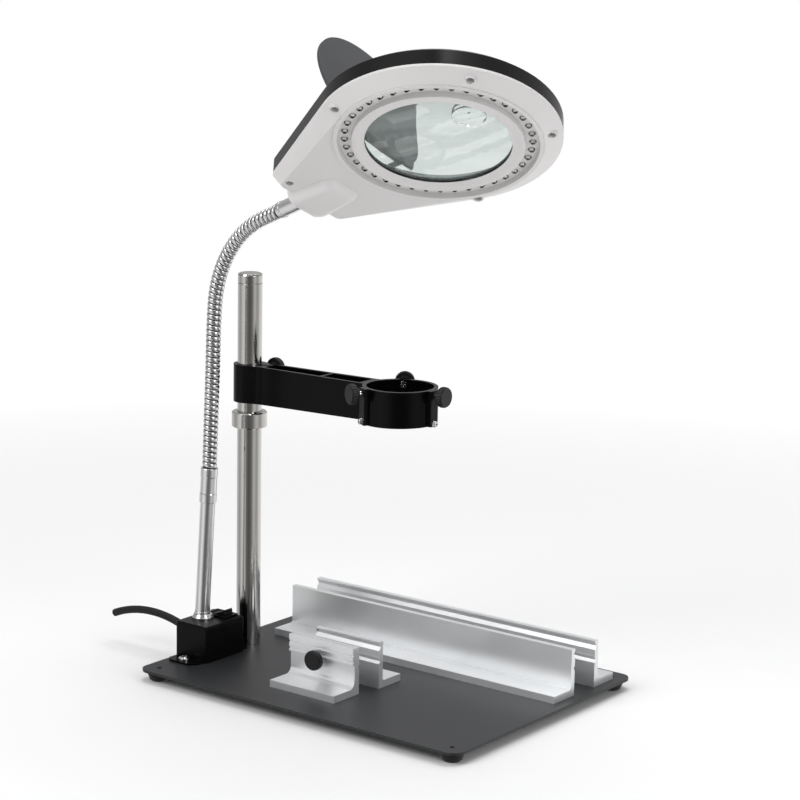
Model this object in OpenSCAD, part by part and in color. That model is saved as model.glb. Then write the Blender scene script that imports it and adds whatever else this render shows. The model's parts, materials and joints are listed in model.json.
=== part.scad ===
// Magnifying lamp on a soldering stand: base plate, post with a tool holder arm, gooseneck lamp, board rails.
// X runs along the long side of the plate, the post end is at -X. Z is up, the feet rest on Z = 0.

/* [Base plate] */
// Length of the plate
plate_l = 300; // [290:1:320]
// Width of the plate
plate_w = 230; // [226:1:250]
// Thickness of the plate
plate_t = 2; // [1.8:0.1:3]
// Radius of the plate corners
plate_r = 10; // [6:1:12]
// Height of the rubber feet
foot_h = 7.5; // [7:0.5:9]
// Diameter of the rubber feet
foot_d = 18; // [16:1:22]

/* [Post and collar] */
// Outside diameter of the post tube
post_d = 19; // [18.8:0.1:19.2]
// Height of the post above the plate, cap included
post_h = 294.8; // [285:0.2:320]
// Height of the stop collar above the plate
collar_z = 174.2; // [150:0.2:180]
// Outside diameter of the stop collar
collar_d = 27.5; // [26:0.5:30]

/* [Holder arm] */
// Height of the arm's top edge above the plate
arm_top = 224.1; // [220:0.1:230]
// Height of the arm at the post
arm_h = 29.5; // [28:0.5:31]
// Distance from the post axis to the ring axis
arm_reach = 142.6; // [140:0.2:150]
// Turn of the arm about the post
arm_turn = 2; // [0:1:6]
// Inside diameter of the tool ring
ring_bore = 50.5; // [50:0.1:51]

/* [Lamp neck] */
// Outside diameter of the lower tube
tube_d = 11.5; // [11.4:0.1:11.8]
// Outside diameter of the gooseneck
neck_d = 11.4; // [11.2:0.1:11.6]
// Pitch of the gooseneck coils
coil_pitch = 4.1; // [3.9:0.1:4.4]

/* [Lamp head] */
// Radius of the round part of the head
head_r = 86; // [85:0.5:88]
// Radius of the main lens
lens_r = 53.5; // [53:0.1:53.5]
// Number of lamps in the ring
led_count = 40; // [30:1:44]
// Roll of the head about the neck end
head_roll = -30; // [-40:1:0]
// Opening angle of the lens cover
cover_open = 108; // [80:1:115]

/* [Board rails] */
// Length of the two long rails
rail_l = 268; // [240:1:270]
// Length of the two short rails
rail_s = 61; // [50:1:70]
// Height of the rails
rail_h = 36; // [34:0.5:40]
// Depth of the rail feet
rail_foot = 22; // [18:0.5:24]

/* [Hidden] */
$fn = 64;
zt = foot_h + plate_t;
post_x = -131;
post_y = -8;
post_r = post_d / 2;
cap_h = 8.1;
foot_inset = 12;
gap = 0.05;
// lamp bracket box
box_x0 = -149;
box_y0 = -73;
box_l = 32;
box_w = 44;
box_h = 28.5;
box_t = 1.5;
box_top = zt + box_h;
tube_x = -137.8;
tube_y = -54.4;
tube_lean = 3.4;
bend_z = box_top + 5.5;
switch_x = -132.5;
switch_y = -38.6;
// neck chain: segment lengths and their elevations
seg_l = [39.3, 39.3, 39.3, 16.8, 16.8, 16.8, 16.8, 16.8, 28.89];
seg_a = [87.8, 87.8, 87.8, 84, 74, 62.5, 51, 39, 25.57];
neck_n = len(seg_l);
ball_r = 4.7;
neck_r = neck_d / 2;
neck_run = 116.5;
neck_x0 = tube_x + neck_run * sin(tube_lean);
neck_z0 = bend_z + neck_run * cos(tube_lean);
function chain_x(i) = i == 0 ? neck_x0 : chain_x(i - 1) + seg_l[i - 1] * cos(seg_a[i - 1]);
function chain_z(i) = i == 0 ? neck_z0 : chain_z(i - 1) + seg_l[i - 1] * sin(seg_a[i - 1]);
head_tilt = 23.6;
head_back = 155.1;
head_x = chain_x(neck_n) + head_back * cos(head_tilt);
head_z = chain_z(neck_n) + head_back * sin(head_tilt);
// head heights, measured from the lamp ring plane
face_h = -5;
seam_h = 3;
top_h = 19;
mid_x = 36.985;
mid_y = 6.615;
hinge_u = -56;
hinge_h = 22;
screw_spots = [[66, 42.5], [66, -42.5], [-28, 74], [-28, -74], [-117, -28]];
// arm
arm_z = zt + arm_top;
ring_r = ring_bore / 2;
ring_o = ring_r + 3;
ring_z = arm_z - 3.8;
clamp_x = 12.6;
// rails
foot_t = 5.4;
wall_t = 4.6;
rail_x0 = -127.5;
short_x0 = -44.2;
front_y = 20.2;
rear_y = 72.4;
sfront_y = -83.6;
srear_y = -35.2;
knob_x = -15.5;
knob_z = zt + 22.4;

module round_rect(l, w, r) {
    square([l - 2 * r, w], center = true);
    square([l, w - 2 * r], center = true);
    for (sx = [-1, 1])
        for (sy = [-1, 1])
            translate([sx * (l / 2 - r), sy * (w / 2 - r)])
                circle(r = r);
}

module at_feet() {
    for (sx = [-1, 1])
        for (sy = [-1, 1])
            translate([sx * (plate_l / 2 - foot_inset), sy * (plate_w / 2 - foot_inset), 0])
                children();
}

module at_bracket_screws() {
    translate([box_x0 + 15, box_y0 - 6.5, 0])
        children();
    translate([box_x0 + 15, box_y0 + box_w + 6.5, 0])
        children();
}

module hex(af, h) {
    cylinder(r = af / 2 / cos(30), h = h, $fn = 6);
}

module cross_recess(w, d) {
    for (a = [0, 90])
        rotate([0, 0, a])
            cube([w, w / 4.5, d], center = true);
}

// ---- stand ----
module base_plate() {
    color([0.17, 0.17, 0.18])
        translate([0, 0, foot_h])
            difference() {
                linear_extrude(plate_t)
                    round_rect(plate_l, plate_w, plate_r);
                translate([0, 0, -foot_h])
                    at_feet()
                        cylinder(r = 1.65, h = 20);
                translate([post_x, post_y, -1])
                    cylinder(r = 4.1, h = 10);
                translate([0, 0, -1])
                    at_bracket_screws()
                        cylinder(r = 2.6, h = 10);
            }
}

module rubber_feet() {
    color([0.05, 0.05, 0.05])
        at_feet()
            difference() {
                union() {
                    cylinder(r1 = foot_d / 2 - 2.8, r2 = foot_d / 2 - 1.6, h = 1.2);
                    translate([0, 0, 1.2])
                        cylinder(r1 = foot_d / 2 - 1.6, r2 = foot_d / 2, h = 4.3);
                    translate([0, 0, 5.5])
                        cylinder(r = foot_d / 2, h = foot_h - 5.5);
                }
                translate([0, 0, -1])
                    cylinder(r = 4, h = 4);
                cylinder(r = 1.65, h = 20);
            }
}

module foot_rivets() {
    color([0.55, 0.55, 0.56])
        at_feet() {
            translate([0, 0, 2])
                cylinder(r = 3.2, h = 1);
            translate([0, 0, 2.5])
                cylinder(r = 1.6, h = zt - 2.5);
            translate([0, 0, zt])
                cylinder(r1 = 1.9, r2 = 1.4, h = 0.4);
        }
}

module stand_post() {
    color([0.78, 0.77, 0.75])
        translate([post_x, post_y, zt])
            difference() {
                cylinder(r = post_r, h = post_h - cap_h);
                translate([0, 0, -1])
                    cylinder(r = post_r - 1.5, h = post_h);
            }
}

module post_cap() {
    color([0.8, 0.8, 0.79])
        translate([post_x, post_y, zt + post_h - cap_h])
            rotate_extrude() {
                translate([0, -9])
                    square([post_r - 1.55, 9.5]);
                polygon([[0, 0], [post_r - 0.5, 0], [post_r, 0.5], [post_r, cap_h - 1.8],
                    [post_r - 0.5, cap_h - 0.6], [post_r - 1.8, cap_h], [0, cap_h]]);
            }
}

module post_insert() {
    color([0.6, 0.6, 0.6])
        translate([post_x, post_y, zt])
            difference() {
                cylinder(r = post_r - 1.55, h = 18);
                translate([0, 0, -1])
                    cylinder(r = 4.05, h = 20);
            }
}

module post_bolt() {
    color([0.5, 0.5, 0.5])
        translate([post_x, post_y, 0]) {
            translate([0, 0, foot_h - 5.6])
                hex(13, 4.4);
            translate([0, 0, foot_h - 1.5])
                cylinder(r = 4, h = 17.5);
        }
}

module post_washer() {
    color([0.65, 0.65, 0.65])
        translate([post_x, post_y, foot_h - 1.2])
            difference() {
                cylinder(r = 9, h = 1.2);
                translate([0, 0, -1])
                    cylinder(r = 4.1, h = 4);
            }
}

// ---- lamp bracket ----
module bracket_tab(s) {
    translate([box_x0 + 15, s > 0 ? box_y0 + box_w : box_y0, zt])
        linear_extrude(box_t)
            polygon([[-13.5, -s * 2], [14.5, -s * 2], [14.5, s * 6], [9, s * 12.5], [-10, s * 12.5],
                [-13.5, s * 9]]);
}

module lamp_bracket() {
    color([0.06, 0.06, 0.06])
        difference() {
            union() {
                translate([box_x0 + box_l / 2, box_y0 + box_w / 2, zt])
                    linear_extrude(box_h - 1.2)
                        round_rect(box_l, box_w, 1.8);
                translate([box_x0 + box_l / 2, box_y0 + box_w / 2, box_top - 1.2])
                    linear_extrude(0.7)
                        round_rect(box_l - 0.7, box_w - 0.7, 1.5);
                translate([box_x0 + box_l / 2, box_y0 + box_w / 2, box_top - 0.5])
                    linear_extrude(0.5)
                        round_rect(box_l - 1.8, box_w - 1.8, 1);
                bracket_tab(-1);
                bracket_tab(1);
            }
            translate([box_x0 + box_t, box_y0 + box_t, zt - 1])
                cube([box_l - 2 * box_t, box_w - 2 * box_t, box_h - box_t + 1]);
            translate([tube_x, tube_y, box_top - 5])
                cylinder(r = 5.1, h = 10);
            translate([switch_x, switch_y, box_top])
                cube([19.2, 13.2, 10], center = true);
            translate([box_x0 - 1, tube_y + 1, zt + 17])
                rotate([0, 90, 0])
                    cylinder(r = 4.6, h = 5);
            at_bracket_screws()
                cylinder(r = 2.6, h = zt + 10);
            translate([post_x, post_y, zt - 1])
                cylinder(r = post_r + 0.5, h = 8);
            // open seams of the fold at the front corners
            translate([box_x0 + box_l - 1.4, box_y0 - 1, box_top - 4])
                cube([0.3, 1.6, 6]);
        }
}

module bracket_screws() {
    color([0.85, 0.85, 0.86])
        at_bracket_screws() {
            difference() {
                union() {
                    translate([0, 0, zt + box_t])
                        cylinder(r = 4.4, h = 1.6);
                    translate([0, 0, zt + box_t + 1.6])
                        cylinder(r1 = 4.4, r2 = 3, h = 1.3);
                }
                translate([0, 0, zt + box_t + 3])
                    cross_recess(4.4, 3);
            }
            translate([0, 0, 2])
                cylinder(r = 2.5, h = zt + box_t - 2);
        }
}

module bracket_nuts() {
    color([0.6, 0.6, 0.6])
        at_bracket_screws()
            translate([0, 0, foot_h - 4])
                difference() {
                    hex(8, 4);
                    translate([0, 0, -1])
                        cylinder(r = 2.5 + gap, h = 6);
                }
}

module switch_housing() {
    color([0.07, 0.07, 0.07])
        translate([switch_x, switch_y, box_top])
            difference() {
                union() {
                    translate([-10.5, -7.5, 0])
                        cube([21, 15, 1.6]);
                    translate([-9.5, -6.5, -13])
                        cube([19, 13, 13]);
                }
                translate([-8.2, -5.3, -6.5])
                    cube([16.4, 10.6, 10]);
            }
}

module rocker_button() {
    color([0.1, 0.1, 0.1])
        translate([switch_x, switch_y, box_top + 0.4])
            rotate([0, -10, 0])
                rotate([90, 0, 0])
                    translate([0, 0, -5.1])
                        linear_extrude(10.2)
                            polygon([[-7.4, 1.9], [-4, 1.7], [0, 2.2], [4, 3], [7.4, 4.2], [7.5, -1.2],
                                [3, -4.6], [-3, -4.6], [-7.5, -1.2]]);
}

module cable_grommet() {
    color([0.04, 0.04, 0.04])
        translate([box_x0, tube_y + 1, zt + 17])
            rotate([0, 90, 0])
                difference() {
                    union() {
                        translate([0, 0, -3.6])
                            cylinder(r1 = 4.6, r2 = 5.8, h = 3.6);
                        cylinder(r = 4.5, h = box_t);
                        translate([0, 0, box_t])
                            cylinder(r = 5.6, h = 1.6);
                    }
                    translate([0, 0, -5])
                        cylinder(r = 3.1, h = 12);
                }
}

cable_r = 3;
cable_bend = 101.5;
cable_start = 20;
module power_cable() {
    color([0.05, 0.05, 0.05])
        translate([box_x0 - 7.6, tube_y + 1, zt + 17]) {
            rotate([0, 90, 0])
                cylinder(r = cable_r, h = 13);
            // moulded knuckle of the strain relief
            rotate([0, 90 + cable_start / 2, 0])
                translate([0, 0, -4.5])
                    cylinder(r = 4.2, h = 7.4);
            translate([-cable_bend * sin(cable_start), 0, -cable_bend * cos(cable_start)])
                rotate([90, 0, 0])
                    rotate([0, 0, 90 - cable_start])
                        rotate_extrude(angle = 44)
                            translate([cable_bend, 0])
                                circle(r = cable_r);
        }
}

module tube_flange_nut() {
    color([0.86, 0.86, 0.87])
        translate([tube_x, tube_y, box_top])
            difference() {
                union() {
                    cylinder(r = 8.2, h = 1.6);
                    translate([0, 0, 1.6])
                        cylinder(r1 = 8, r2 = 6.8, h = 2.4);
                }
                translate([0, 0, -1])
                    cylinder(r = 5 + gap, h = 8);
            }
}

module tube_lock_nut() {
    color([0.6, 0.6, 0.6])
        translate([tube_x, tube_y, box_top - box_t - 5])
            difference() {
                hex(14, 5);
                translate([0, 0, -1])
                    cylinder(r = 5 + gap, h = 8);
            }
}

module at_tube() {
    translate([tube_x, tube_y, bend_z])
        rotate([0, tube_lean, 0])
            children();
}

module lower_tube() {
    color([0.84, 0.84, 0.85])
        difference() {
            union() {
                translate([tube_x, tube_y, box_top - 9])
                    cylinder(r = 5, h = 14);
                translate([tube_x, tube_y, box_top + 4.1])
                    cylinder(r = tube_d / 2 + 0.4, h = 1.9);
                at_tube()
                    cylinder(r = tube_d / 2, h = 103);
            }
            translate([tube_x, tube_y, box_top - 10])
                cylinder(r = 3.6, h = 15.7);
            at_tube()
                cylinder(r = 3.2, h = 110);
        }
}

module neck_coupling() {
    color([0.84, 0.84, 0.85])
        at_tube()
            rotate_extrude()
                difference() {
                    polygon([[0, 88], [6.2, 88], [6.6, 88.5], [6.6, 95], [6.35, 96], [6.35, 108], [6.6, 109],
                        [6.6, neck_run - 1.5], [6.2, neck_run - 1], [0, neck_run - 1]]);
                    square([3, 130]);
                    translate([0, 80])
                        square([tube_d / 2 + gap, 23.1]);
                    translate([0, neck_run])
                        circle(r = ball_r + gap);
                }
}

// ---- gooseneck ----
module at_chain(i) {
    translate([chain_x(i), tube_y, chain_z(i)])
        rotate([0, 90 - seg_a[min(i, neck_n - 1)], 0])
            children();
}

// one length of coil with a ball at its start and a seat at its end
module neck_seg(i) {
    l = seg_l[i];
    last = i == neck_n - 1;
    end = last ? l : l - 1;
    count = round((end - 1) / coil_pitch);
    step = (end - 1) / count;
    color([0.82, 0.82, 0.83])
        at_chain(i)
            rotate_extrude()
                difference() {
                    union() {
                        circle(r = ball_r);
                        translate([0, 1])
                            square([neck_r - 0.7, end - 1]);
                        for (k = [0 : count - 1])
                            translate([neck_r - 1.7, 1 + step * (k + 0.5)])
                                circle(r = 1.7);
                    }
                    translate([-20, -20])
                        square([22.2, l + 40]);
                    if (!last)
                        translate([0, l])
                            circle(r = ball_r + gap);
                }
}

module neck_seg_1() {
    neck_seg(0);
}
module neck_seg_2() {
    neck_seg(1);
}
module neck_seg_3() {
    neck_seg(2);
}
module neck_seg_4() {
    neck_seg(3);
}
module neck_seg_5() {
    neck_seg(4);
}
module neck_seg_6() {
    neck_seg(5);
}
module neck_seg_7() {
    neck_seg(6);
}
module neck_seg_8() {
    neck_seg(7);
}
module neck_seg_9() {
    neck_seg(8);
}

// ---- lamp head, drawn with its long axis along X and its underside facing -Z ----
module at_head() {
    translate([head_x, tube_y, head_z])
        rotate([0, -head_tilt, 0])
            rotate([head_roll, 0, 0])
                children();
}

module drop_shape(r, hw, ue, rc) {
    hull() {
        circle(r = r, $fn = 90);
        for (s = [-1, 1])
            translate([-ue + rc, s * (hw - rc)])
                circle(r = rc, $fn = 20);
    }
}

module along_u(u) {
    translate([u, 0, 0])
        rotate([0, 90, 0])
            children();
}

module neck_ferrule() {
    color([0.85, 0.85, 0.86])
        translate([chain_x(neck_n), tube_y, chain_z(neck_n)])
            rotate([0, 90 - head_tilt, 0])
                difference() {
                    union() {
                        translate([0, 0, -1])
                            cylinder(r = 6, h = 25.5);
                        translate([0, 0, 2])
                            cylinder(r = 6.4, h = 1.6);
                        translate([0, 0, 23.5])
                            cylinder(r = 4.5, h = 17.5);
                    }
                    translate([0, 0, -2])
                        cylinder(r = 2.4, h = 60);
                    // seat cut square to the last coil length
                    rotate([0, head_tilt - seg_a[neck_n - 1], 0])
                        translate([0, 0, -10])
                            cylinder(r = 12, h = 10.02);
                }
}

module neck_nut() {
    color([0.6, 0.6, 0.6])
        at_head()
            along_u(-121)
                difference() {
                    hex(11, 3.6);
                    translate([0, 0, -1])
                        cylinder(r = 4.5 + gap, h = 8);
                }
}

module at_shell_screws() {
    for (p = screw_spots)
        translate([p[0], p[1], 0])
            children();
}

module socket_boss() {
    difference() {
        hull() {
            for (s = [-1, 1]) {
                translate([-130, s * 9, -1.4])
                    rotate([0, 90, 0])
                        cylinder(r = 8.4, h = 2, $fn = 32);
                translate([-125, s * 9.5, -1.6])
                    rotate([0, 90, 0])
                        cylinder(r = 9.6, h = 6, $fn = 32);
                translate([-96, s * 8.4, -1.8])
                    sphere(r = 9, $fn = 32);
            }
        }
        translate([-127.7, -40, seam_h])
            cube([60, 80, 20]);
    }
}

module lower_shell() {
    color([0.93, 0.92, 0.9])
        at_head()
            difference() {
                union() {
                    difference() {
                        hull() {
                            translate([0, 0, face_h])
                                linear_extrude(0.1)
                                    drop_shape(73.5, 31.5, 124.5, 5);
                            translate([0, 0, 1.2])
                                linear_extrude(seam_h - 1.2)
                                    drop_shape(head_r, 39, 127.5, 7);
                        }
                        hull() {
                            translate([0, 0, face_h + 2])
                                linear_extrude(0.1)
                                    drop_shape(71.8, 29.9, 122.5, 4);
                            translate([0, 0, 2.2])
                                linear_extrude(5)
                                    drop_shape(head_r - 2, 37, 125.5, 6);
                        }
                    }
                    translate([0, 0, face_h - 1])
                        cylinder(r = 73, h = 2);
                    translate([0, 0, face_h])
                        difference() {
                            cylinder(r = 71.5, h = 6.5);
                            translate([0, 0, 6])
                                cylinder(r = 70, h = 2);
                        }
                    at_shell_screws()
                        translate([0, 0, face_h + 2])
                            cylinder(r = 4.2, h = seam_h - face_h - 2);
                    socket_boss();
                }
                // lamp channel, open below
                translate([0, 0, face_h - 2])
                    difference() {
                        cylinder(r = 70, h = 5.5);
                        translate([0, 0, -1])
                            cylinder(r = 60, h = 8);
                    }
                // room above the channel floor
                difference() {
                    cylinder(r = 70, h = 8);
                    translate([0, 0, -1])
                        cylinder(r = 60, h = 12);
                }
                // seat of the black retainer, behind a thin lip
                translate([0, 0, face_h + 0.8])
                    cylinder(r = 58.5, h = 12);
                translate([0, 0, -20])
                    cylinder(r = 51.2, h = 40);
                translate([0, 0, face_h - 1.5])
                    cylinder(r1 = 60.8, r2 = 52, h = 1.9);
                for (k = [0 : led_count - 1])
                    rotate([0, 0, (k + 0.5) * 360 / led_count])
                        translate([65, 0, -3])
                            cylinder(r = 2.55, h = 6, $fn = 32);
                at_shell_screws() {
                    translate([0, 0, -12])
                        cylinder(r = 2.9, h = 13.8);
                    cylinder(r = 1.55, h = 12);
                }
                along_u(-150)
                    cylinder(r = 4.5 + gap, h = 40);
                along_u(-126)
                    cylinder(r = 7, h = 22);
            }
}

module upper_shell() {
    color([0.05, 0.05, 0.06])
        at_head()
            difference() {
                union() {
                    difference() {
                        hull() {
                            translate([0, 0, seam_h])
                                linear_extrude(11)
                                    drop_shape(head_r, 39, 127.5, 7);
                            translate([0, 0, 17.4])
                                linear_extrude(0.1)
                                    drop_shape(81.8, 35.5, 124, 7);
                            translate([0, 0, top_h - 0.1])
                                linear_extrude(0.1)
                                    drop_shape(76, 31, 119, 7);
                        }
                        hull() {
                            translate([0, 0, seam_h - 1])
                                linear_extrude(10)
                                    drop_shape(head_r - 2, 37, 125.5, 6);
                            translate([0, 0, top_h - 2.1])
                                linear_extrude(0.1)
                                    drop_shape(76, 31.5, 118.5, 6);
                        }
                    }
                    // lens cell and the dished opening above it
                    translate([0, 0, -2.3])
                        cylinder(r = 55.4, h = 6.5);
                    translate([0, 0, 3.3])
                        cylinder(r1 = 57.5, r2 = 69, h = 14.3);
                    at_shell_screws()
                        translate([0, 0, seam_h])
                            cylinder(r = 3.4, h = 12.6, $fn = 12);
                    for (s = [-1, 1])
                        translate([hinge_u, s * 23.5, 0]) {
                            translate([-14, -1.5, top_h - 3])
                                cube([17.5, 3, hinge_h - top_h + 3]);
                            translate([0, 1.5, hinge_h])
                                rotate([90, 0, 0])
                                    cylinder(r = 3.5, h = 3);
                        }
                }
                translate([0, 0, -3])
                    cylinder(r = lens_r + gap, h = 4.4);
                translate([0, 0, 1])
                    cylinder(r = 51.2, h = 5);
                translate([0, 0, 1.6])
                    cylinder(r1 = 51.2, r2 = 56, h = 3.4);
                translate([0, 0, 4.9])
                    cylinder(r1 = 56, r2 = 67, h = 14.2);
                at_shell_screws()
                    cylinder(r = 1.45, h = 11, $fn = 12);
                translate([hinge_u, 30, hinge_h])
                    rotate([90, 0, 0])
                        cylinder(r = 1.55, h = 60);
                // bearing clearance for the neck end
                along_u(-129)
                    cylinder(r = 7, h = 25);
            }
}

module lens_outline(z0, z1, r, bend) {
    sag = sqrt(bend * bend - r * r);
    intersection() {
        translate([0, z0 - 15])
            square([r, z1 - z0 + 30]);
        translate([0, z0 + sag])
            circle(r = bend, $fn = 720);
        translate([0, z1 - sag])
            circle(r = bend, $fn = 720);
    }
}

module main_lens() {
    color([0.8, 0.9, 0.87, 0.5])
        at_head()
            difference() {
                rotate_extrude()
                    lens_outline(-2, 0.9, lens_r, 700);
                translate([37.5, -11, -20])
                    cylinder(r = 11.8 + gap, h = 40);
            }
}

module inset_lens() {
    color([0.75, 0.88, 0.84, 0.6])
        at_head()
            translate([37.5, -11, 0])
                rotate_extrude()
                    lens_outline(-3.9, 2.8, 11.8, 110);
}

module lens_retainer() {
    color([0.06, 0.06, 0.07])
        at_head()
            translate([0, 0, face_h + 0.8])
                difference() {
                    cylinder(r = 58.4, h = 1.8);
                    translate([0, 0, -1])
                        cylinder(r = 51.5, h = 8);
                }
}

module led_board() {
    color([0.85, 0.86, 0.84])
        at_head()
            translate([0, 0, 1.5])
                difference() {
                    cylinder(r = 70.8, h = 1.6);
                    translate([0, 0, -1])
                        cylinder(r = 58.7, h = 4);
                }
}

module leds() {
    color([0.95, 0.95, 0.9])
        at_head()
            for (k = [0 : led_count - 1])
                rotate([0, 0, (k + 0.5) * 360 / led_count])
                    translate([65, 0, 0]) {
                        translate([0, 0, 0.5])
                            cylinder(r = 2.7, h = 1, $fn = 24);
                        translate([0, 0, -2])
                            cylinder(r = 2.3, h = 2.6, $fn = 24);
                        translate([0, 0, -3.3])
                            cylinder(r1 = 1.4, r2 = 2.3, h = 1.3, $fn = 24);
                    }
}

module shell_screws() {
    color([0.6, 0.6, 0.62])
        at_head()
            at_shell_screws() {
                difference() {
                    translate([0, 0, 0.2])
                        cylinder(r = 2.6, h = 1.6);
                    translate([0, 0, 0.2])
                        cross_recess(3, 1.6);
                }
                translate([0, 0, 1.6])
                    cylinder(r = 1.3, h = 8.4);
            }
}

module cover_pin() {
    color([0.7, 0.7, 0.7])
        at_head()
            translate([hinge_u, 25, hinge_h])
                rotate([90, 0, 0])
                    cylinder(r = 1.5, h = 50);
}

module lens_cover() {
    color([0.3, 0.3, 0.31])
        at_head()
            translate([hinge_u, 0, hinge_h])
                rotate([0, -cover_open, 0])
                    difference() {
                        union() {
                            translate([0, 0, -1.4])
                                linear_extrude(2.2)
                                    union() {
                                        translate([43, 0])
                                            circle(r = 52);
                                        polygon([[-3, -34], [30, -48], [30, 48], [-3, 34]]);
                                    }
                            translate([0, 21.5, 0])
                                rotate([90, 0, 0])
                                    cylinder(r = 3, h = 43);
                        }
                        // room for the two hinge arms
                        for (s = [-1, 1])
                            translate([-12, s * 23.7 - 2.1, -5])
                                cube([18, 4.2, 10]);
                        translate([-20, -40, -5])
                            cube([16.9, 80, 10]);
                        translate([0, 22, 0])
                            rotate([90, 0, 0])
                                cylinder(r = 1.55, h = 44);
                    }
}

// ---- collar and holder arm ----
module stop_collar() {
    color([0.8, 0.79, 0.76])
        translate([post_x, post_y, zt + collar_z])
            difference() {
                rotate_extrude()
                    polygon([[post_r + gap, 0], [collar_d / 2 - 0.8, 0], [collar_d / 2, 0.8],
                        [collar_d / 2, 11.5], [collar_d / 2 - 0.8, 12.3], [post_r + gap, 12.3]]);
                rotate([0, 0, 130])
                    translate([0, 0, 6.5])
                        rotate([0, 90, 0])
                            cylinder(r = 2 + gap, h = 20);
            }
}

module collar_screw() {
    color([0.3, 0.3, 0.3])
        translate([post_x, post_y, zt + collar_z])
            rotate([0, 0, 130])
                translate([post_r + 0.1, 0, 6.5])
                    rotate([0, 90, 0])
                        difference() {
                            cylinder(r = 2, h = 4.4);
                            translate([0, 0, 2.6])
                                hex(2, 4);
                        }
}

module at_arm() {
    translate([post_x, post_y, 0])
        rotate([0, 0, arm_turn])
            children();
}

module at_ring(a) {
    at_arm()
        translate([arm_reach, 0, 0])
            rotate([0, 0, a])
                children();
}

module arm_plan() {
    difference() {
        union() {
            circle(r = 12.5);
            polygon([[2, -12.3], [14, -9.6], [20, -9.2], [arm_reach - 25, -11.2], [arm_reach - 25, 11.2],
                [20, 9.2], [14, 9.6], [2, 12.3]]);
            translate([arm_reach, 0]) {
                circle(r = ring_o);
                for (a = [0, 120, 240])
                    rotate([0, 0, a])
                        translate([ring_r + 1, -4.5])
                            square([4.8, 9]);
            }
        }
        circle(r = post_r + gap);
        translate([arm_reach, 0])
            circle(r = ring_r);
        // slot between the clamp cheeks
        translate([5, -1.4])
            square([20, 2.8]);
        polygon([[20, -6.6], [73.5, -7.4], [73.5, 7.4], [20, 6.6]]);
        polygon([[76, -7.4], [arm_reach - 31, -8.6], [arm_reach - 31, 8.6], [76, 7.4]]);
    }
}

module holder_arm() {
    color([0.06, 0.06, 0.065])
        at_arm()
            difference() {
                translate([0, 0, arm_z - arm_h])
                    linear_extrude(arm_h)
                        arm_plan();
                // underside rises towards the ring
                translate([0, -50, arm_z - arm_h])
                    rotate([0, -0.95, 0])
                        translate([0, 0, -10])
                            cube([200, 100, 10]);
                translate([clamp_x, 20, arm_z - 4])
                    rotate([90, 0, 0])
                        cylinder(r = 2 + gap, h = 28.5);
                // pocket for the captive nut
                translate([clamp_x - 3.6, -6.2, arm_z - 7.6])
                    cube([7.2, 3.2, 8]);
                for (a = [0, 120, 240])
                    translate([arm_reach, 0, 0])
                        rotate([0, 0, a])
                            translate([ring_r - 2, 0, 0])
                                rotate([0, 90, 0]) {
                                    translate([-ring_z, 0, 0]) {
                                        cylinder(r = 2 + gap, h = 12);
                                        cylinder(r = 2.75, h = 4.4);
                                    }
                                    translate([-ring_z + 21, 0, 0])
                                        cylinder(r = 1.5 + gap, h = 12);
                                }
            }
}

module arm_clamp_screw() {
    color([0.75, 0.75, 0.76])
        at_arm()
            translate([clamp_x, 17.4, arm_z - 4])
                rotate([90, 0, 0])
                    cylinder(r = 2, h = 23.9);
}

module thumb_knob(h) {
    difference() {
        union() {
            cylinder(r = 4.2, h = h - 4);
            translate([0, 0, h - 5.2])
                cylinder(r = 7, h = 5.2);
            translate([0, 0, h - 4.7])
                cylinder(r = 7.4, h = 4);
            for (k = [0 : 23])
                rotate([0, 0, k * 15])
                    translate([7.1, 0, h - 4.4])
                        cylinder(r = 0.6, h = 3.4, $fn = 8);
        }
        translate([0, 0, -1])
            cylinder(r = 2 + gap, h = h - 0.5);
    }
}

module arm_clamp_knob() {
    color([0.04, 0.04, 0.045])
        at_arm()
            translate([clamp_x, 11.4, arm_z - 4])
                rotate([-90, 0, 0])
                    thumb_knob(7.7);
}

module arm_clamp_nut() {
    color([0.6, 0.6, 0.6])
        at_arm()
            difference() {
                translate([clamp_x - 3.5, -6.1, arm_z - 7.5])
                    cube([7, 3, 7]);
                translate([clamp_x, 0, arm_z - 4])
                    rotate([90, 0, 0])
                        cylinder(r = 2 + gap, h = 20);
            }
}

module ring_screw(a) {
    color([0.82, 0.82, 0.83])
        at_ring(a)
            translate([0, 0, ring_z])
                rotate([0, 90, 0]) {
                    difference() {
                        translate([0, 0, ring_r + 0.1])
                            cylinder(r = 2.6, h = 2.2);
                        translate([0, 0, ring_r + 0.1])
                            cross_recess(3, 1.6);
                    }
                    translate([0, 0, ring_r + 2.1])
                        cylinder(r = 2, h = 12.4);
                }
}

module ring_knob(a) {
    color([0.04, 0.04, 0.045])
        at_ring(a)
            translate([ring_r + 8.7, 0, ring_z])
                rotate([0, 90, 0])
                    thumb_knob(7.7);
}

module ring_screw_1() {
    ring_screw(0);
}
module ring_screw_2() {
    ring_screw(120);
}
module ring_screw_3() {
    ring_screw(240);
}
module ring_knob_1() {
    ring_knob(0);
}
module ring_knob_2() {
    ring_knob(120);
}
module ring_knob_3() {
    ring_knob(240);
}

module ring_lower_screws() {
    color([0.8, 0.8, 0.81])
        for (a = [0, 120, 240])
            at_ring(a)
                translate([ring_r + 0.2, 0, ring_z - 21])
                    rotate([0, 90, 0])
                        difference() {
                            union() {
                                cylinder(r = 1.5, h = 6);
                                translate([0, 0, 5.6])
                                    cylinder(r1 = 2.75, r2 = 2, h = 2.1);
                            }
                            translate([0, 0, 7.7])
                                cross_recess(2.8, 1.6);
                        }
}

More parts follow.
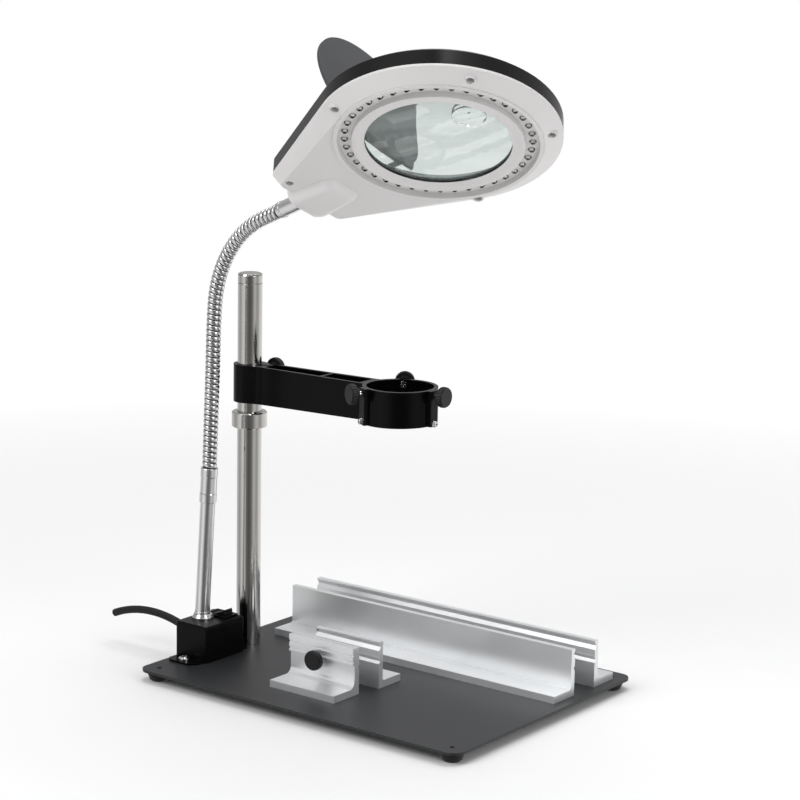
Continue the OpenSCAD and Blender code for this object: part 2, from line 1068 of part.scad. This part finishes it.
// ---- board rails ----
// end view of a rail: foot towards -X, grooved face towards +X
module rail_profile(t, cuts) {
    h = rail_h;
    back = cuts ? 2.2 : 0;
    difference() {
        union() {
            square([rail_foot + t, foot_t]);
            translate([rail_foot + back, 0])
                square([t - back, h]);
            if (cuts)
                translate([rail_foot, h - 13])
                    square([t, 13]);
            if (cuts)
                polygon([[rail_foot + 3, foot_t - 1], [rail_foot + 3, foot_t + 4.5], [rail_foot + back, foot_t + 4.5],
                    [rail_foot + 1, foot_t + 1.7], [rail_foot - 1.8, foot_t], [rail_foot - 1.8, foot_t - 1]]);
            else
                translate([rail_foot - 1.2, foot_t])
                    square([1.2, 0.9]);
        }
        polygon([[rail_foot + t + 1, h - 0.9], [rail_foot + t, h - 1.2], [rail_foot + t - 2, h - 4.1],
            [rail_foot + t, h - 6.8], [rail_foot + t + 1, h - 6.9]]);
        translate([rail_foot + t - 0.4, h - 11.6])
            square([2, 1]);
        polygon([[rail_foot + t + 1, h - 12.8], [rail_foot + t, h - 13], [rail_foot + t - 1.6, h - 15],
            [rail_foot + t, h - 17], [rail_foot + t + 1, h - 17.2]]);
        if (cuts)
            for (d = [5.6, 10.6])
                polygon([[rail_foot - 1, h - d + 1.9], [rail_foot, h - d + 1.1], [rail_foot + 1.2, h - d],
                    [rail_foot, h - d - 1.1], [rail_foot - 1, h - d - 1.9]]);
        if (cuts)
            translate([rail_foot + t / 2 - 0.5, h - 1])
                square([1, 2]);
    }
}

module rail(l, t, cuts) {
    rotate([90, 0, 90])
        linear_extrude(l)
            rail_profile(t, cuts);
}

module long_rail_front() {
    color([0.85, 0.85, 0.86])
        translate([rail_x0, front_y, zt])
            rail(rail_l, wall_t, false);
}

module long_rail_rear() {
    color([0.85, 0.85, 0.86])
        translate([rail_x0 + 1, rear_y + rail_foot + wall_t, zt])
            mirror([0, 1, 0])
                rail(rail_l, wall_t, false);
}

module short_rail_front() {
    color([0.85, 0.85, 0.86])
        difference() {
            translate([short_x0, sfront_y, zt])
                rail(rail_s, 7.6, true);
            translate([knob_x, sfront_y + rail_foot - 5, knob_z])
                rotate([-90, 0, 0])
                    cylinder(r = 2.5 + gap, h = 20);
        }
}

module short_rail_rear() {
    color([0.85, 0.85, 0.86])
        translate([short_x0 + 4, srear_y + rail_foot + wall_t, zt])
            mirror([0, 1, 0])
                rail(rail_s, wall_t, false);
}

module clamp_screw() {
    color([0.75, 0.75, 0.76])
        translate([knob_x, sfront_y + rail_foot - 7.4, knob_z])
            rotate([-90, 0, 0])
                cylinder(r = 2.5, h = 17.2);
}

module clamp_knob() {
    color([0.04, 0.04, 0.045])
        translate([knob_x, sfront_y + rail_foot - 2, knob_z])
            rotate([90, 0, 0])
                difference() {
                    union() {
                        cylinder(r = 4.6, h = 2.4);
                        translate([0, 0, 1.6])
                            cylinder(r = 6.8, h = 5);
                        translate([0, 0, 2.1])
                            cylinder(r = 7.2, h = 4);
                        for (k = [0 : 23])
                            rotate([0, 0, k * 15])
                                translate([6.9, 0, 2.4])
                                    cylinder(r = 0.6, h = 3.4, $fn = 8);
                    }
                    translate([0, 0, -1])
                        cylinder(r = 2.5 + gap, h = 6.6);
                }
}

// ---- drawing ----
// the origin lies under the middle of the whole lamp
module placed() {
    translate([mid_x, mid_y, 0])
        children();
}

placed() base_plate();
placed() rubber_feet();
placed() foot_rivets();
placed() stand_post();
placed() post_cap();
placed() post_insert();
placed() post_bolt();
placed() post_washer();
placed() lamp_bracket();
placed() bracket_screws();
placed() bracket_nuts();
placed() switch_housing();
placed() rocker_button();
placed() cable_grommet();
placed() power_cable();
placed() tube_flange_nut();
placed() tube_lock_nut();
placed() lower_tube();
placed() neck_coupling();
placed() neck_seg_1();
placed() neck_seg_2();
placed() neck_seg_3();
placed() neck_seg_4();
placed() neck_seg_5();
placed() neck_seg_6();
placed() neck_seg_7();
placed() neck_seg_8();
placed() neck_seg_9();
placed() neck_ferrule();
placed() neck_nut();
placed() lower_shell();
placed() upper_shell();
placed() main_lens();
placed() inset_lens();
placed() lens_retainer();
placed() led_board();
placed() leds();
placed() shell_screws();
placed() cover_pin();
placed() lens_cover();
placed() stop_collar();
placed() collar_screw();
placed() holder_arm();
placed() arm_clamp_screw();
placed() arm_clamp_knob();
placed() arm_clamp_nut();
placed() ring_screw_1();
placed() ring_screw_2();
placed() ring_screw_3();
placed() ring_knob_1();
placed() ring_knob_2();
placed() ring_knob_3();
placed() ring_lower_screws();
placed() long_rail_front();
placed() long_rail_rear();
placed() short_rail_front();
placed() short_rail_rear();
placed() clamp_screw();
placed() clamp_knob();
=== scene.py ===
import json
import math

import bpy
from mathutils import Matrix, Vector


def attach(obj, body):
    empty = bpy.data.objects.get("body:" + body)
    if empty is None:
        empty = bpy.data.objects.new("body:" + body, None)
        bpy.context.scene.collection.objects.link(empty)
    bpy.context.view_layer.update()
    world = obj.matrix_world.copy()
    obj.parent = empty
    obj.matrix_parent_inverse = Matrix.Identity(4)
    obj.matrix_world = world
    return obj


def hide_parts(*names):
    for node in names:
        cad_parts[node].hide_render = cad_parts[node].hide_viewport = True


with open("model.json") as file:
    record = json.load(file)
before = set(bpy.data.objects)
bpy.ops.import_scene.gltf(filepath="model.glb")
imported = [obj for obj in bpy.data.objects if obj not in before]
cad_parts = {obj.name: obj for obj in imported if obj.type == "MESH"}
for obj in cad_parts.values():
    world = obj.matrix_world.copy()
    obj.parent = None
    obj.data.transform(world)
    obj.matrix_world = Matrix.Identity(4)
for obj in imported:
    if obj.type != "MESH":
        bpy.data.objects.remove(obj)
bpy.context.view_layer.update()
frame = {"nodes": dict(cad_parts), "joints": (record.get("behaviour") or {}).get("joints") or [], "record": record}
record = frame["record"]
nodes = frame["nodes"]
joints = {j["name"]: j for j in frame["joints"]}
slot_of = {s["node"]: s["material_slot"] for s in record["subparts"]}

# the neck's last coil length, as the CAD part has it: metres, and degrees above the horizontal
LAST_LENGTH = 0.02889
LAST_RISE = 25.57
# the wound wire: radius of its centre line, half its height and half its width, pitch, steps a turn, sides
COIL_R = 0.0051
WIRE = (0.0006, 0.0018)
PITCH = 0.0041
TURN_STEPS = 30
WIRE_SIDES = 10
# the liner inside the coil, painted dark for the shade in the gaps between the turns, which runs on past both ends
# of each length
LINER_R = 0.0050
LINER_SIDES = 24
LINER_OVERLAP = 0.002
CURVE_STEPS = 20
# the wall of the lens opening is painted lighter grey-green, painted light on the black plastic: the painted light
# fades out between these radii from the head's axis, and in between these heights along it, in metres
WALL_LIGHT_RADIUS = (0.0665, 0.0672)
WALL_LIGHT_HEIGHT = (0.0018, 0.0022)
WALL_PAINTED_LIGHT = (0.065, 0.10, 0.095, 1)
VEIL_TINT = (0.74, 0.80, 0.78, 1)
# nodes whose CAD surfaces are faceted, and the angle that still counts as a crease on them
FACETED = ("lower_shell", "upper_shell")
CREASE = math.radians(22)
WELD = 0.00001


# ---------- materials ----------
def node_tree(name):
    m = bpy.data.materials.new(name)
    m.use_nodes = True
    t = m.node_tree
    t.nodes.clear()
    out = t.nodes.new("ShaderNodeOutputMaterial")
    bsdf = t.nodes.new("ShaderNodeBsdfPrincipled")
    t.links.new(bsdf.outputs[0], out.inputs[0])
    return m, t, bsdf, out


def put(bsdf, **values):
    for key, value in values.items():
        name = key.replace("_", " ")
        if name in bsdf.inputs:
            bsdf.inputs[name].default_value = value


def noise(t, scale, detail=3.0, stretch=(1, 1, 1), rough=0.55):
    coord = t.nodes.new("ShaderNodeTexCoord")
    mapping = t.nodes.new("ShaderNodeMapping")
    mapping.inputs["Scale"].default_value = stretch
    tex = t.nodes.new("ShaderNodeTexNoise")
    tex.inputs["Scale"].default_value = scale
    tex.inputs["Detail"].default_value = detail
    tex.inputs["Roughness"].default_value = rough
    t.links.new(coord.outputs["Object"], mapping.inputs[0])
    t.links.new(mapping.outputs[0], tex.inputs["Vector"])
    return tex


def ranged(t, source, low, high, from_low=0.3, from_high=0.7):
    """Maps a value to a new range. Noise stays mostly between 0.3 and 0.7, hence the default range."""
    r = t.nodes.new("ShaderNodeMapRange")
    r.inputs["From Min"].default_value = from_low
    r.inputs["From Max"].default_value = from_high
    r.inputs["To Min"].default_value = low
    r.inputs["To Max"].default_value = high
    t.links.new(source, r.inputs["Value"])
    return r


def tinted(t, source, dark, light):
    mix = t.nodes.new("ShaderNodeMix")
    mix.data_type = "RGBA"
    mix.inputs["A"].default_value = (*dark, 1)
    mix.inputs["B"].default_value = (*light, 1)
    t.links.new(source, mix.inputs["Factor"])
    return mix


def relief(t, bsdf, source, strength, distance, edge=0.0):
    bump = t.nodes.new("ShaderNodeBump")
    bump.inputs["Strength"].default_value = strength
    bump.inputs["Distance"].default_value = distance
    t.links.new(source, bump.inputs["Height"])
    if edge:
        bevel = t.nodes.new("ShaderNodeBevel")
        bevel.samples = 6
        bevel.inputs["Radius"].default_value = edge
        t.links.new(bevel.outputs[0], bump.inputs["Normal"])
    t.links.new(bump.outputs[0], bsdf.inputs["Normal"])


def finish_material(name, dark, light, rough, metallic=0.0, grain=900, stretch=(1, 1, 1), bump=0.05,
                    depth=0.0002, edge=0.0004, coat=0.0, blotch=18, specular=0.5):
    """A surface with fine relief, patchy roughness and a slight change of tint."""
    m, t, bsdf, _ = node_tree(name)
    put(bsdf, Metallic=metallic, Specular_IOR_Level=specular, Coat_Weight=coat, Coat_Roughness=0.08)
    fine = noise(t, grain, 4.0, stretch)
    broad = noise(t, blotch, 3.0)
    tint = tinted(t, ranged(t, broad.outputs[0], 0, 1).outputs[0], dark, light)
    t.links.new(tint.outputs["Result"], bsdf.inputs["Base Color"])
    both = t.nodes.new("ShaderNodeMath")
    both.operation = "ADD"
    t.links.new(ranged(t, fine.outputs[0], rough[0] / 2, rough[1] / 2).outputs[0], both.inputs[0])
    t.links.new(ranged(t, broad.outputs[0], rough[0] / 2, rough[1] / 2).outputs[0], both.inputs[1])
    t.links.new(both.outputs[0], bsdf.inputs["Roughness"])
    relief(t, bsdf, fine.outputs[0], bump, depth, edge)
    return m


def glass_material(name, colour, rough=0.0, veil=0.12):
    """Tinted glass with the faint milky veil that bright surroundings lay over it."""
    m, t, bsdf, out = node_tree(name)
    put(bsdf, Base_Color=(*colour, 1), Transmission_Weight=1.0, IOR=1.5, Specular_IOR_Level=0.3)
    dust = noise(t, 60, 4.0)
    haze = ranged(t, dust.outputs[0], rough, rough + 0.006, 0.55, 0.8)
    t.links.new(haze.outputs[0], bsdf.inputs["Roughness"])
    milky = t.nodes.new("ShaderNodeBsdfDiffuse")
    milky.inputs[0].default_value = VEIL_TINT
    mix = t.nodes.new("ShaderNodeMixShader")
    mix.inputs[0].default_value = veil
    t.links.new(bsdf.outputs[0], mix.inputs[1])
    t.links.new(milky.outputs[0], mix.inputs[2])
    t.links.new(mix.outputs[0], out.inputs[0])
    return m


def led_material(name):
    """A pale dome that turns black towards its outline: painted shade, for how a clear lamp looks in its hole."""
    m, t, bsdf, _ = node_tree(name)
    put(bsdf, Roughness=0.12, Specular_IOR_Level=0.5)
    facing = t.nodes.new("ShaderNodeLayerWeight")
    facing.inputs["Blend"].default_value = 0.5
    cloudy = noise(t, 900, 2.0)
    # painted shade: the dome darkens to black where it turns away from view
    edge = ranged(t, facing.outputs["Facing"], 0, 1, 0.14, 0.40)
    rim_shade = tinted(t, edge.outputs[0], (0.66, 0.67, 0.62), (0.012, 0.013, 0.011))
    shade = tinted(t, cloudy.outputs[0], (0.8, 0.8, 0.8), (1, 1, 1))
    both = t.nodes.new("ShaderNodeMix")
    both.data_type = "RGBA"
    both.blend_type = "MULTIPLY"
    both.inputs["Factor"].default_value = 1.0
    t.links.new(rim_shade.outputs["Result"], both.inputs["A"])
    t.links.new(shade.outputs["Result"], both.inputs["B"])
    t.links.new(both.outputs["Result"], bsdf.inputs["Base Color"])
    return m


def paint_wall_light(m):
    """Paints the wall of the lens opening pale grey-green by distance from the lamp head's axis: painted light on
    the black plastic.
    """
    t = m.node_tree
    bsdf = next(n for n in t.nodes if n.type == "BSDF_PRINCIPLED")
    link = bsdf.inputs["Base Color"].links[0]
    turn = joints["head_swivel"]
    flip = Vector(joints["cover_flip"]["axis"])
    middle, along = Vector(turn["pos_m"]), Vector(turn["axis"])
    axis = along.cross(flip).normalized()
    coord = t.nodes.new("ShaderNodeTexCoord")
    away = t.nodes.new("ShaderNodeVectorMath")
    away.operation = "SUBTRACT"
    away.inputs[1].default_value = middle
    t.links.new(coord.outputs["Object"], away.inputs[0])
    cross = t.nodes.new("ShaderNodeVectorMath")
    cross.operation = "CROSS_PRODUCT"
    cross.inputs[1].default_value = axis
    t.links.new(away.outputs[0], cross.inputs[0])
    radius = t.nodes.new("ShaderNodeVectorMath")
    radius.operation = "LENGTH"
    t.links.new(cross.outputs[0], radius.inputs[0])
    height = t.nodes.new("ShaderNodeVectorMath")
    height.operation = "DOT_PRODUCT"
    height.inputs[1].default_value = axis
    t.links.new(away.outputs[0], height.inputs[0])
    near = ranged(t, radius.outputs["Value"], 1, 0, *WALL_LIGHT_RADIUS)
    above = ranged(t, height.outputs["Value"], 0, 1, *WALL_LIGHT_HEIGHT)
    both = t.nodes.new("ShaderNodeMath")
    both.operation = "MULTIPLY"
    t.links.new(near.outputs[0], both.inputs[0])
    t.links.new(above.outputs[0], both.inputs[1])
    mix = t.nodes.new("ShaderNodeMix")
    mix.data_type = "RGBA"
    t.links.new(both.outputs[0], mix.inputs["Factor"])
    t.links.new(link.from_socket, mix.inputs["A"])
    mix.inputs["B"].default_value = WALL_PAINTED_LIGHT
    t.links.new(mix.outputs["Result"], bsdf.inputs["Base Color"])
    return m


MATERIALS = {
    "plate_paint": finish_material(
        "plate_paint", (0.016, 0.017, 0.019), (0.022, 0.023, 0.025), (0.36, 0.44), grain=1500, bump=0.2,
        depth=0.0001, specular=0.4),
    "rubber": finish_material(
        "rubber", (0.010, 0.010, 0.010), (0.018, 0.018, 0.018), (0.5, 0.65), grain=1200, bump=0.1,
        specular=0.2),
    "zinc_steel": finish_material(
        "zinc_steel", (0.42, 0.42, 0.43), (0.55, 0.55, 0.56), (0.25, 0.42), 1.0, grain=700),
    "post_steel": finish_material(
        "post_steel", (0.50, 0.485, 0.465), (0.56, 0.545, 0.525), (0.11, 0.15), 1.0, grain=260,
        stretch=(1, 1, 0.01), bump=0.02, depth=0.00003),
    "bracket_paint": finish_material(
        "bracket_paint", (0.0018, 0.0018, 0.002), (0.0034, 0.0034, 0.0037), (0.24, 0.32), grain=1400,
        bump=0.06, depth=0.0001, specular=0.1),
    "bright_screw": finish_material(
        "bright_screw", (0.62, 0.62, 0.63), (0.72, 0.72, 0.73), (0.10, 0.22), 1.0, grain=600),
    # near-black: painted shade, for the shell screws deep in their recesses and for the coil's liner between the
    # turns
    "black_steel": finish_material("black_steel", (0.03, 0.03, 0.03), (0.05, 0.05, 0.05), (0.3, 0.45), 0.8),
    "switch_plastic": finish_material(
        "switch_plastic", (0.002, 0.002, 0.0022), (0.004, 0.004, 0.0042), (0.2, 0.28), grain=1000,
        specular=0.14),
    "chrome": finish_material(
        "chrome", (0.70, 0.70, 0.71), (0.76, 0.76, 0.77), (0.20, 0.28), 1.0, grain=300, bump=0.02),
    "white_shell": finish_material(
        "white_shell", (0.645, 0.63, 0.627), (0.665, 0.65, 0.645), (0.30, 0.34), grain=400, bump=0.004,
        depth=0.00005, coat=0.12, blotch=9),
    # the black shell carries painted light on the wall of its lens opening
    "black_shell": paint_wall_light(
        finish_material(
            "black_shell", (0.003, 0.0032, 0.0035), (0.005, 0.0052, 0.0055), (0.16, 0.22), grain=500,
            bump=0.01, specular=0.3)),
    "lens_glass": glass_material("lens_glass", (0.78, 0.85, 0.83)),
    "board_white": finish_material("board_white", (0.34, 0.35, 0.34), (0.40, 0.41, 0.40), (0.4, 0.5)),
    "led_clear": led_material("led_clear"),
    "cover_plastic": finish_material(
        "cover_plastic", (0.050, 0.051, 0.054), (0.060, 0.061, 0.064), (0.48, 0.56), grain=1600, bump=0.1,
        depth=0.0001, edge=0.0006, specular=0.3),
    "arm_plastic": finish_material(
        "arm_plastic", (0.0012, 0.0012, 0.0014), (0.002, 0.002, 0.0022), (0.2, 0.26), grain=500, bump=0.015,
        edge=0.0007, specular=0.1),
    "knob_plastic": finish_material(
        "knob_plastic", (0.007, 0.007, 0.0075), (0.011, 0.011, 0.0115), (0.38, 0.48), grain=900,
        specular=0.3),
    "rail_aluminium": finish_material(
        "rail_aluminium", (0.80, 0.81, 0.82), (0.86, 0.87, 0.88), (0.28, 0.36), 0.68, grain=140,
        stretch=(0.03, 1, 1), bump=0.02, depth=0.00004, edge=0.0),
}


def dress(obj, slot):
    obj.data.materials.clear()
    obj.data.materials.append(MATERIALS[slot])
    for p in obj.data.polygons:
        p.use_smooth = True


for name, obj in nodes.items():
    dress(obj, slot_of[name])
    if name in FACETED:
        weld = obj.modifiers.new("weld", "WELD")
        weld.merge_threshold = WELD
        split = obj.modifiers.new("creases", "EDGE_SPLIT")
        split.split_angle = CREASE


# ---------- gooseneck: a wound coil over each of the nine rigid lengths, continuous at rest ----------
def mesh_piece(name, verts, faces, slot):
    mesh = bpy.data.meshes.new(name)
    mesh.from_pydata([tuple(v) for v in verts], [], faces)
    mesh.update()
    obj = bpy.data.objects.new(name, mesh)
    bpy.context.scene.collection.objects.link(obj)
    dress(obj, slot)
    return obj


def neck_points():
    """The neck's joint centres from the bottom up, then the point where the coil meets the ferrule."""
    neck = [j for name, j in joints.items() if name.startswith("neck_")]
    neck.sort(key=lambda j: int(j["child"].split("_")[1]))
    points = [Vector(j["pos_m"]) for j in neck]
    rise = math.radians(LAST_RISE)
    return points + [points[-1] + Vector((math.cos(rise), 0, math.sin(rise))) * LAST_LENGTH]


def curve(a, b, before, after, n):
    """Points from a to b that leave along before and arrive along after."""
    length = (b - a).length
    points = []
    for t in (k / n for k in range(n + 1)):
        place = a * (2 * t ** 3 - 3 * t ** 2 + 1) + b * (3 * t ** 2 - 2 * t ** 3)
        lean = before * (t ** 3 - 2 * t ** 2 + t) + after * (t ** 3 - t ** 2)
        points.append(place + lean * length)
    return points


def tube_faces(first, rings, sides):
    """Quads between rings of points that follow each other from index first."""
    faces = []
    for k in range(rings - 1):
        base = first + k * sides
        for q in range(sides):
            w = (q + 1) % sides
            faces.append((base + q, base + w, base + sides + w, base + sides + q))
    return faces


def wire_points(path, phase):
    """Rings of points round a wire wound along the path, the number of rings, and the end phase."""
    lengths = [0.0]
    for a, b in zip(path, path[1:]):
        lengths.append(lengths[-1] + (b - a).length)
    total = lengths[-1]
    steps = max(2, round(total / PITCH * TURN_STEPS))
    side = Vector((0, 1, 0))
    last = len(path) - 2
    seg = 0
    points = []
    for k in range(steps + 1):
        s = total * k / steps
        while seg < last and lengths[seg + 1] < s:
            seg += 1
        f = (s - lengths[seg]) / max(1e-9, lengths[seg + 1] - lengths[seg])
        centre = path[seg].lerp(path[seg + 1], f)
        here = (path[seg + 1] - path[seg]).normalized()
        after = min(seg + 1, last)
        there = (path[after + 1] - path[after]).normalized()
        tangent = here.lerp(there, f).normalized()
        a = phase + 2 * math.pi * s / PITCH
        out = side * math.cos(a) + side.cross(tangent) * math.sin(a)
        for q in range(WIRE_SIDES):
            b = 2 * math.pi * q / WIRE_SIDES
            off_axis = out * (COIL_R + WIRE[0] * math.cos(b))
            points.append(centre + off_axis + tangent * (WIRE[1] * math.sin(b)))
    return points, steps + 1, (phase + 2 * math.pi * total / PITCH) % (2 * math.pi)


def liner_points(path):
    """Rings of points round the liner, which runs on past both ends to fill the gap of a bent neck."""
    before = path[0] - (path[1] - path[0]).normalized() * LINER_OVERLAP
    after = path[-1] + (path[-1] - path[-2]).normalized() * LINER_OVERLAP
    line = [before] + path + [after]
    side = Vector((0, 1, 0))
    points = []
    for i, p in enumerate(line):
        tangent = (line[min(i + 1, len(line) - 1)] - line[max(i - 1, 0)]).normalized()
        other = side.cross(tangent)
        for q in range(LINER_SIDES):
            b = 2 * math.pi * q / LINER_SIDES
            points.append(p + (side * math.cos(b) + other * math.sin(b)) * LINER_R)
    return points, len(line)


def coil_piece(name, path, phase):
    """A wound wire and its liner along a path in a plane of constant Y, and the phase at its end."""
    wire, rings, end_phase = wire_points(path, phase)
    faces = tube_faces(0, rings, WIRE_SIDES)
    faces.append(tuple(range(WIRE_SIDES)))
    faces.append(tuple(range(len(wire) - WIRE_SIDES, len(wire))))
    wound = len(faces)
    liner, liner_rings = liner_points(path)
    faces += tube_faces(len(wire), liner_rings, LINER_SIDES)
    piece = mesh_piece(name, wire + liner, faces, "chrome")
    # the liner takes the near-black material: painted shade in the gaps between the turns
    piece.data.materials.append(MATERIALS["black_steel"])
    for p in piece.data.polygons[wound:]:
        p.material_index = 1
    return piece, end_phase


def wind_neck():
    """One coil piece on each rigid length of the neck. At rest the wire runs on from length to length."""
    chain = neck_points()
    along = [(b - a).normalized() for a, b in zip(chain, chain[1:])]
    between = [(a + b).normalized() for a, b in zip(along, along[1:])]
    leave = [along[0]] + between + [along[-1]]
    phase = 0.0
    for i in range(len(along)):
        path = curve(chain[i], chain[i + 1], leave[i], leave[i + 1], CURVE_STEPS)
        piece, phase = coil_piece("coil_%d" % (i + 1), path, phase)
        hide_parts("neck_seg_%d" % (i + 1))
        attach(piece, "neck_%d" % (i + 1))


wind_neck()


# ---------- stage ----------
# brightness of the studio by compass direction: place on the circle from -X round through -Y, and value
BANDS = (
    (0.0, 0.75), (0.075, 0.5), (0.2, 0.98), (0.25, 0.75), (0.3, 0.2), (0.353, 0.13),
    (0.403, 0.18), (0.5, 0.72), (0.565, 0.48), (0.64, 0.95), (0.73, 1.1), (1.0, 0.75))
# strength of the surroundings, and how far the bands show in them
STUDIO_STRENGTH = 0.75
BAND_SHARE = 0.85
# side of the floor, and the distances from its middle between which it fades to plain white, in metres
FLOOR_SIDE = 14
FLOOR_FADE = (0.35, 1.1)
# area lights: name, place, the point each one faces, size and power
LIGHTS = (
    ("key", (-0.46, -1.4, 1.3), (0.04, 0, 0.2), (0.9, 0.9), 14),
    ("fill", (1.64, -0.3, 0.7), (0.04, 0, 0.2), (0.8, 1.0), 7),
    ("top", (0.14, 0.3, 1.7), (0.04, 0, 0.0), (1.2, 1.2), 14))


def studio_bands(t, ray):
    """Light and dark bands by compass direction, as vertical metal tubes mirror them."""
    split = t.nodes.new("ShaderNodeSeparateXYZ")
    t.links.new(ray, split.inputs[0])
    angle = t.nodes.new("ShaderNodeMath")
    angle.operation = "ARCTAN2"
    t.links.new(split.outputs["Y"], angle.inputs[0])
    t.links.new(split.outputs["X"], angle.inputs[1])
    turn = ranged(t, angle.outputs[0], 0, 1, -math.pi, math.pi)
    bands = t.nodes.new("ShaderNodeValToRGB")
    bands.color_ramp.interpolation = "EASE"
    while len(bands.color_ramp.elements) < len(BANDS):
        bands.color_ramp.elements.new(0.5)
    for e, (p, v) in zip(bands.color_ramp.elements, BANDS):
        e.position = p
        e.color = (v, v, v, 1)
    t.links.new(turn.outputs[0], bands.inputs[0])
    return split, bands


def stage_plane():
    bpy.ops.mesh.primitive_plane_add(size=FLOOR_SIDE, location=(0, 0, 0))
    floor = bpy.context.object
    floor.name = "studio_floor"
    m, t, bsdf, out = node_tree("floor")
    put(bsdf, Base_Color=(0.86, 0.86, 0.86, 1), Roughness=0.6, Specular_IOR_Level=0.15)
    glow = t.nodes.new("ShaderNodeEmission")
    glow.inputs[0].default_value = (1, 1, 1, 1)
    glow.inputs[1].default_value = 1.0
    coord = t.nodes.new("ShaderNodeTexCoord")
    length = t.nodes.new("ShaderNodeVectorMath")
    length.operation = "LENGTH"
    t.links.new(coord.outputs["Object"], length.inputs[0])
    fade = ranged(t, length.outputs["Value"], 0, 1, *FLOOR_FADE)
    mix = t.nodes.new("ShaderNodeMixShader")
    t.links.new(fade.outputs[0], mix.inputs[0])
    t.links.new(bsdf.outputs[0], mix.inputs[1])
    t.links.new(glow.outputs[0], mix.inputs[2])
    # mirrored in metal, the floor shows the studio's bands instead
    geometry = t.nodes.new("ShaderNodeNewGeometry")
    away = t.nodes.new("ShaderNodeVectorMath")
    away.operation = "SCALE"
    away.inputs["Scale"].default_value = -1
    t.links.new(geometry.outputs["Incoming"], away.inputs[0])
    _, bands = studio_bands(t, away.outputs[0])
    mirrored = t.nodes.new("ShaderNodeEmission")
    t.links.new(bands.outputs[0], mirrored.inputs[0])
    path = t.nodes.new("ShaderNodeLightPath")
    last = t.nodes.new("ShaderNodeMixShader")
    t.links.new(path.outputs["Is Glossy Ray"], last.inputs[0])
    t.links.new(mix.outputs[0], last.inputs[1])
    t.links.new(mirrored.outputs[0], last.inputs[2])
    t.links.new(last.outputs[0], out.inputs[0])
    floor.data.materials.append(m)


def studio_world():
    world = bpy.data.worlds.new("studio")
    bpy.context.scene.world = world
    world.use_nodes = True
    t = world.node_tree
    t.nodes.clear()
    out = t.nodes.new("ShaderNodeOutputWorld")
    seen = t.nodes.new("ShaderNodeBackground")
    seen.inputs[0].default_value = (1, 1, 1, 1)
    around = t.nodes.new("ShaderNodeBackground")
    coord = t.nodes.new("ShaderNodeTexCoord")
    split, bands = studio_bands(t, coord.outputs["Generated"])
    height = ranged(t, split.outputs["Z"], 0.0, 1.0, -0.2, 0.9)
    ramp = t.nodes.new("ShaderNodeValToRGB")
    ramp.color_ramp.elements[0].color = (0.55, 0.55, 0.56, 1)
    ramp.color_ramp.elements[1].color = (1.0, 1.0, 1.0, 1)
    t.links.new(height.outputs[0], ramp.inputs[0])
    mult = t.nodes.new("ShaderNodeMix")
    mult.data_type = "RGBA"
    mult.blend_type = "MULTIPLY"
    mult.inputs["Factor"].default_value = BAND_SHARE
    t.links.new(ramp.outputs[0], mult.inputs["A"])
    t.links.new(bands.outputs[0], mult.inputs["B"])
    t.links.new(mult.outputs["Result"], around.inputs[0])
    around.inputs[1].default_value = STUDIO_STRENGTH
    path = t.nodes.new("ShaderNodeLightPath")
    mix = t.nodes.new("ShaderNodeMixShader")
    clear = t.nodes.new("ShaderNodeMath")
    clear.operation = "MAXIMUM"
    t.links.new(path.outputs["Is Camera Ray"], clear.inputs[0])
    t.links.new(path.outputs["Is Transmission Ray"], clear.inputs[1])
    t.links.new(clear.outputs[0], mix.inputs[0])
    t.links.new(around.outputs[0], mix.inputs[1])
    t.links.new(seen.outputs[0], mix.inputs[2])
    t.links.new(mix.outputs[0], out.inputs[0])


def area(name, place, aim, size, power):
    data = bpy.data.lights.new(name, "AREA")
    data.shape = "RECTANGLE"
    data.size, data.size_y = size
    data.energy = power
    obj = bpy.data.objects.new(name, data)
    bpy.context.scene.collection.objects.link(obj)
    obj.location = place
    obj.rotation_euler = (Vector(aim) - Vector(place)).to_track_quat("-Z", "Y").to_euler()


stage_plane()
studio_world()
for light in LIGHTS:
    area(*light)


# ---------- camera ----------
AZIMUTH, ELEVATION, ROLL = (math.radians(a) for a in (37.09, 11.22, 1.04))
CAMERA_PLACE = Vector((1.078365, -1.358625, 0.5616))
FOCAL_LENGTH = 105.86


def place_camera():
    """Turns the camera by azimuth, elevation and roll, at the viewing angle of the real lamp's picture."""
    level = math.cos(ELEVATION)
    back = Vector((math.sin(AZIMUTH) * level, -math.cos(AZIMUTH) * level, math.sin(ELEVATION)))
    right = (-back).cross(Vector((0, 0, 1))).normalized()
    up = right.cross(-back)
    rolled_right = right * math.cos(ROLL) + up * math.sin(ROLL)
    rolled_up = up * math.cos(ROLL) - right * math.sin(ROLL)
    camera = bpy.data.objects.new("camera", bpy.data.cameras.new("camera"))
    bpy.context.scene.collection.objects.link(camera)
    camera.data.sensor_width = 36
    camera.data.lens = FOCAL_LENGTH
    camera.data.clip_end = 50
    turn = Matrix((rolled_right, rolled_up, back)).transposed().to_4x4()
    camera.matrix_world = Matrix.Translation(CAMERA_PLACE) @ turn
    bpy.context.scene.camera = camera


place_camera()
bpy.context.scene.view_settings.view_transform = "Standard"
